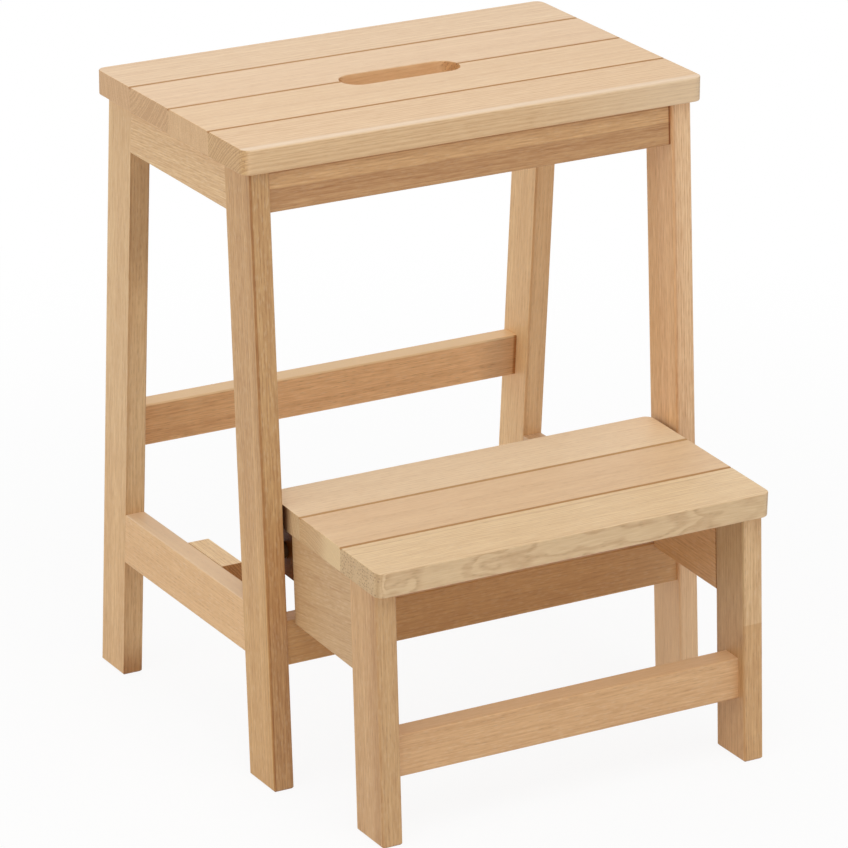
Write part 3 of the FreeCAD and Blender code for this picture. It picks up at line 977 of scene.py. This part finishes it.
@dataclass
class StepStool:
    """The stool's sub-assemblies, with the angles that its bars stand at and the rings of its stock.

    A band that runs out of a piece's end stops past it, further from the middle than any piece reaches.
    """

    splay_deg: float = 3.85
    step_splay_deg: float = 3.2
    fall_deg: float = 1.9
    on_edge_deg: float = 90.0
    slot_mm: float = 101.5
    leg_ring_mm: float = 1.7
    rail_ring_mm: float = 2.0
    past_end_mm: float = 300.0
    # Painted shade on a front leg's outer face, towards its front arris
    outer_face_painted_shade: Band = Band(Across.DEPTH, -25, -11, "#F2ECE3", blend_mm=6.0, face=Face.LEFT)

    def leg(self, heart_mm: tuple[float, float], lean_deg: float, **traits: Trait) -> Sawing:
        """Gives the cut of a leg that leans to the front or the back."""
        return Sawing(Fibre.UPRIGHT, heart_mm, lean_deg, ring_mm=self.leg_ring_mm, **traits)

    def cross_rail(self, heart_mm: tuple[float, float], lean_deg: float, **traits: Trait) -> Sawing:
        """Gives the cut of a rail from left to right, which stands on edge and leans with the legs."""
        tilt_deg = self.on_edge_deg + lean_deg
        return Sawing(Fibre.ALONG_X, heart_mm, tilt_deg, ring_mm=self.rail_ring_mm, **traits)

    def side_rail(self, heart_mm: tuple[float, float], tilt_deg: float = 0.0, **traits: Trait) -> Sawing:
        """Gives the cut of a rail or cleat from front to back."""
        return Sawing(Fibre.ALONG_Y, heart_mm, tilt_deg, **{"ring_mm": self.rail_ring_mm, **traits})

    def seat(self) -> PlankBoard:
        """Saws the seat's planks, of which the front one has a worn, pale edge with a painted highlight and
        painted light on its front face towards the right.

        Returns:
            The seat board.
        """
        # Worn pale wood with a painted highlight along the rounded front edge of the top
        worn_edge_and_highlight = Band(Across.BREADTH, -28.0, -20.5, "#F4E2CC", blend_mm=1.6, wander_mm=0.3, veil=0.4,
                      face=Face.TOP)
        nose = Band(Across.BREADTH, -40, -10, "#FEFCF6", face=Face.FRONT)
        # Painted light on the front face towards the right end
        painted_light_right = Band(Across.LENGTH, 110, self.past_end_mm, "#F2DEC0", blend_mm=160.0, veil=0.35,
                          face=Face.FRONT)
        planks = {
            "rear": Sawing(
                Fibre.ALONG_X, (-230, 60), tone="#E1C09A", figure=0.26, ring_mm=4.0, rings=0.4, pores=0.12,
                end_rings=0.5, end_pores=0.2, seed=1),
            "rear_middle": Sawing(
                Fibre.ALONG_X, (85, 80), tone="#E2C09A", end_tint="#EADEC8", figure=0.2, ring_mm=3.4,
                rings=0.3, pores=0.12, end_rings=3.0, seed=2),
            "front_middle": Sawing(
                Fibre.ALONG_X, (-260, 40), tone="#E1BE95", end_tint="#F1E8D8", figure=0.2, ring_mm=4.0,
                rings=0.4, pores=0.12, end_rings=0.4, end_pores=0.2, seed=3),
            "front": Sawing(
                Fibre.ALONG_X, (-70, -80), tone="#DFBB91", end_tint="#E9E0CA", figure=0.26, ring_mm=2.2,
                rings=0.5, streaks=0.35, pores=0.15, end_rings=1.6, end_pores=0.6, pore_mm=2.0, seed=4,
                bands=(worn_edge_and_highlight, nose, painted_light_right)),
        }
        slotted = ("rear_middle", "front_middle")
        return PlankBoard("seat_plank_", planks, slot_mm=self.slot_mm, slotted=slotted)

    def frame(self) -> Joinery:
        """Saws the bars of the main frame.

        Returns:
            The legs, aprons, stretchers and cleats, with what holds them.
        """
        dowels = ("seat_dowels", "cross_rail_dowels", "side_rail_dowels")
        bars = {**self.main_legs(), **self.main_cross_rails(), **self.main_side_rails()}
        return Joinery(bars, dowels, screws=("cleat_screws",))

    def main_legs(self) -> dict[str, Sawing]:
        """Saws the four main legs.

        Returns:
            The cut of each leg.
        """
        fore, aft, far = -self.splay_deg, self.splay_deg, self.past_end_mm
        # Painted shade along the rounded front arris
        arris_painted_shade = Band(Across.BREADTH, -8.8, -6.6, "#DCC8AC", blend_mm=1.4, wander_mm=1.2, face=Face.FRONT)
        dusky_foot = Band(Across.LENGTH, -far, -60, "#F7F0EC", blend_mm=140.0, face=Face.FRONT)
        sunny_foot = Band(Across.LENGTH, -far, -60, "#FAC66C", blend_mm=140.0, veil=0.12, face=Face.LEFT)
        leg_inside = Band(Across.BREADTH, -12, -8, "#FCFAF2")
        olive_rear = Band(Across.DEPTH, 3, 25, "#F8F4EC", blend_mm=5.0, wander_mm=1.0, face=Face.LEFT)
        red_arris = Band(Across.BREADTH, -9, -6.4, "#F1E5D8", blend_mm=1.4, wander_mm=0.5, face=Face.FRONT)
        # Painted light: the lower part of the front right leg, shaded by the step, is made paler
        painted_light_foot = Band(Across.LENGTH, -far, -130, "#FFDCAE", blend_mm=90.0, veil=0.5)
        pale_middle = Band(Across.LENGTH, -100, 75, "#F6DCB4", blend_mm=80.0, veil=0.12, face=Face.FRONT)
        # Painted shade along the foot's lower edge on the front face
        painted_shade_foot_edge = Band(Across.LENGTH, -far, -222, "#D2B898", blend_mm=36.0, face=Face.FRONT)
        smoky_top = Band(Across.LENGTH, 100, 205, "#E4E0DD", blend_mm=60.0, face=Face.FRONT)
        # Fainter painted shade along the rounded front arris
        faint_arris_painted_shade = Band(Across.BREADTH, -9, -6.6, "#F0E8E0", blend_mm=1.2, wander_mm=0.3, face=Face.FRONT)
        golden_foot = Band(Across.LENGTH, -far, -60, "#FFFAF2", blend_mm=140.0, face=Face.LEFT)
        pale_inside = Band(Across.DEPTH, -25, -18.6, "#F2EBE7")
        return {
            "front_leg_left": self.leg(
                (60, -50), fore, tone="#C79B68", figure=0.58, streaks=0.6, rays=0.15, seed=5,
                bands=(self.outer_face_painted_shade, arris_painted_shade, dusky_foot, sunny_foot)),
            "front_leg_right": self.leg(
                (-60, -70), fore, tone="#E7BD90", figure=0.5, pores=0.2, streaks=0.6, seed=6,
                bands=(leg_inside, olive_rear, red_arris, painted_light_foot)),
            "rear_leg_left": self.leg(
                (-50, 70), aft, tone="#D8B180", seed=7,
                bands=(pale_middle, painted_shade_foot_edge, smoky_top, faint_arris_painted_shade, golden_foot)),
            "rear_leg_right": self.leg(
                (70, 60), aft, tone="#F0C791", figure=0.32, pores=0.18, seed=8,
                bands=(pale_inside, faint_arris_painted_shade)),
        }

    def main_cross_rails(self) -> dict[str, Sawing]:
        """Saws the aprons and stretchers that run from left to right.

        Returns:
            The cut of each rail.
        """
        fore, aft = -self.splay_deg, self.splay_deg
        red_strip = Band(Across.BREADTH, -40, 0.8, "#E8E2DE", blend_mm=1.0, wander_mm=2.0)
        # Painted shadow along the front apron's top, under the seat's front edge
        shadow_below_seat = Band(Across.BREADTH, 12.0, 18, "#D8C8B8", blend_mm=1.4)
        # Painted shadow in the open joint at the apron's right end, beside the leg
        joint_gap_shadow = Band(Across.LENGTH, 171.5, 175, "#B89472", blend_mm=0.8)
        # Painted shade on the front stretcher's front face, deeper towards the left, under the step
        painted_shade_left = Band(Across.LENGTH, -self.past_end_mm, 0, "#FAF8F3", blend_mm=200.0, face=Face.FRONT)
        smoky_left = Band(Across.LENGTH, -260, -80, "#EDE8E0", blend_mm=120.0, face=Face.FRONT)
        # Painted light on the rear stretcher's top face, which the seat shades
        painted_light_top = Band(Across.BREADTH, 16.6, 20, "#FFDDAB", veil=0.9)
        dull_end = Band(Across.LENGTH, 145, 180, "#E2E2E4", blend_mm=30.0, face=Face.FRONT)
        # Painted shadow at the rear stretcher's right end, where it meets the leg
        rail_end_shadow = Band(Across.LENGTH, 170.2, 175, "#CBAA82", blend_mm=2.4, face=Face.FRONT)
        return {
            "front_apron": self.cross_rail(
                (-60, -50), fore, tone="#D8A975", figure=0.52, seed=9,
                bands=(red_strip, shadow_below_seat, joint_gap_shadow)),
            "rear_apron": self.cross_rail((60, 50), aft, tone="#D3AC82", seed=10),
            "front_stretcher": self.cross_rail(
                (60, -40), fore, tone="#CE9D66", figure=0.33, pores=0.2, seed=11, bands=(painted_shade_left,)),
            "rear_stretcher": self.cross_rail(
                (-60, 50), aft, tone="#EEBB85", seed=12, bands=(smoky_left, painted_light_top, dull_end, rail_end_shadow)),
        }

    def main_side_rails(self) -> dict[str, Sawing]:
        """Saws the aprons, stretchers and cleats that run from front to back.

        Returns:
            The cut of each piece.
        """
        # Painted light on the side stretcher's top face
        painted_light_top = Band(Across.BREADTH, 20.1, 24, "#F4DDBE", veil=0.5)
        cleat = {"tone": "#F1D1A2", "end_tint": "#CCAD86"}
        return {
            "side_apron_left": self.side_rail(
                (-90, 30), run_out_deg=-4, ring_mm=1.9, rays=0.15, tone="#DBB483", figure=0.54, seed=13),
            "side_apron_right": self.side_rail((70, 40), tone="#D3AE84", seed=14),
            "side_stretcher_left": self.side_rail(
                (-80, -40), tone="#DDB17D", figure=0.24, seed=15, bands=(painted_light_top,)),
            "side_stretcher_right": self.side_rail((70, 40), tone="#D5AE84", seed=16),
            "stow_cleat_left": self.side_rail((40, 40), seed=17, **cleat),
            "stow_cleat_right": self.side_rail((-40, 50), seed=18, **cleat),
        }

    def step(self) -> PlankBoard:
        """Saws the planks of the lower step, of which the front one shows wavy rings along its front edge.

        Returns:
            The board of the step.
        """
        fall = self.fall_deg
        edge = Band(Across.BREADTH, -40, -10, "#F0EBE7", face=Face.FRONT)
        # Painted shadow on the rear plank's left end, beside the main front leg
        shadow_by_main_leg = Band(Across.BREADTH, -10, 40, "#7A5228", blend_mm=16.0, face=Face.LEFT)
        plain_end = Band(Across.BREADTH, -40, -4, "#FFE4B9", blend_mm=20.0, veil=0.6, face=Face.LEFT)
        planks = {
            "rear": Sawing(
                Fibre.ALONG_X, (-150, 50), fall, tone="#EDD0A9", end_tint="#DDD6C8", figure=0.2, ring_mm=3.0,
                pores=0.15, seed=21, bands=(shadow_by_main_leg,)),
            "middle": Sawing(
                Fibre.ALONG_X, (30, -110), fall, tone="#E6C399", end_tint="#E7E2D4", figure=0.2, ring_mm=2.2,
                rings=0.12, pores=0.15, end_rings=3.0, seed=22, bands=(plain_end,)),
            "front": Sawing(
                Fibre.ALONG_X, (75, 3), fall, tone="#EACB9F", end_tint="#DAD2C6", figure=0.26, ring_mm=1.7,
                wave_mm=5.0, wave_length_mm=80.0, rings=0.7, streaks=0.4, pores=0.2, end_rings=0.3,
                end_pores=0.6, pore_mm=2.3, seed=23, bands=(edge,)),
        }
        return PlankBoard("step_plank_", planks, fall_deg=fall)

    def step_frame(self) -> Joinery:
        """Saws the legs, aprons and stretcher of the lower step.

        Returns:
            The bars under the step, with the dowels of the step.
        """
        fore, fall, far = -self.step_splay_deg, self.fall_deg, self.past_end_mm
        spliced = Band(Across.LENGTH, -120, 10, "#F2E8DB", blend_mm=0.8, face=Face.FRONT)
        warm_foot = Band(Across.LENGTH, -far, 10, "#F2E8DB", blend_mm=120.0, face=Face.LEFT)
        # Painted shade on the right step leg's inner face, darker towards the top under the step board
        painted_shade_inside = Band(Across.LENGTH, -20, far, "#D8D5CB", blend_mm=260.0, face=Face.LEFT)
        # Painted light on the step stretcher's top face
        stretcher_top_painted_light = Band(Across.BREADTH, 15.6, 19, "#EBC9A0", veil=0.5)
        # The rebated ears' recessed faces get painted shade, for the dark gap beside the main legs
        recess_shade_left = Band(Across.DEPTH, -4.9, -4.1, "#B07C2C", blend_mm=0.2)
        recess_shade_right = Band(Across.DEPTH, 4.1, 4.9, "#B07C2C", blend_mm=0.2)
        bars = {
            "step_leg_left": self.leg(
                (50, -60), fore, tone="#CCA170", figure=0.46, seed=24, bands=(self.outer_face_painted_shade,)),
            "step_leg_right": self.leg(
                (-70, -40), fore, tone="#DDB585", figure=0.46, seed=25,
                bands=(spliced, warm_foot, painted_shade_inside)),
            "step_apron_left": self.side_rail(
                (-80, -40), fall, run_out_deg=-9, tone="#C6A073", figure=0.37, seed=26, bands=(recess_shade_left,)),
            "step_apron_right": self.side_rail((60, 50), fall, tone="#D0A06C", seed=27, bands=(recess_shade_right,)),
            "step_stretcher": self.cross_rail(
                (60, -40), fore, tone="#DBAD7C", figure=0.34, pores=0.2, seed=28, bands=(stretcher_top_painted_light,)),
        }
        return Joinery(bars, dowels=("step_board_dowels", "step_frame_dowels"))


def main() -> None:
    """Loads the solids, dresses them, and sets up the studio and the camera."""
    logging.basicConfig(level=logging.INFO, format="%(message)s")
    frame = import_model()
    bpy.context.scene.view_settings.view_transform = "Standard"

    stool = StepStool()
    for assembly in (stool.seat(), stool.frame(), PivotSet(), stool.step(), stool.step_frame()):
        assembly.dress(frame["nodes"])
    view = Viewpoint()
    view.place()
    Studio().build(Vector(view.aim_m))


if __name__ == "__main__":
    main()
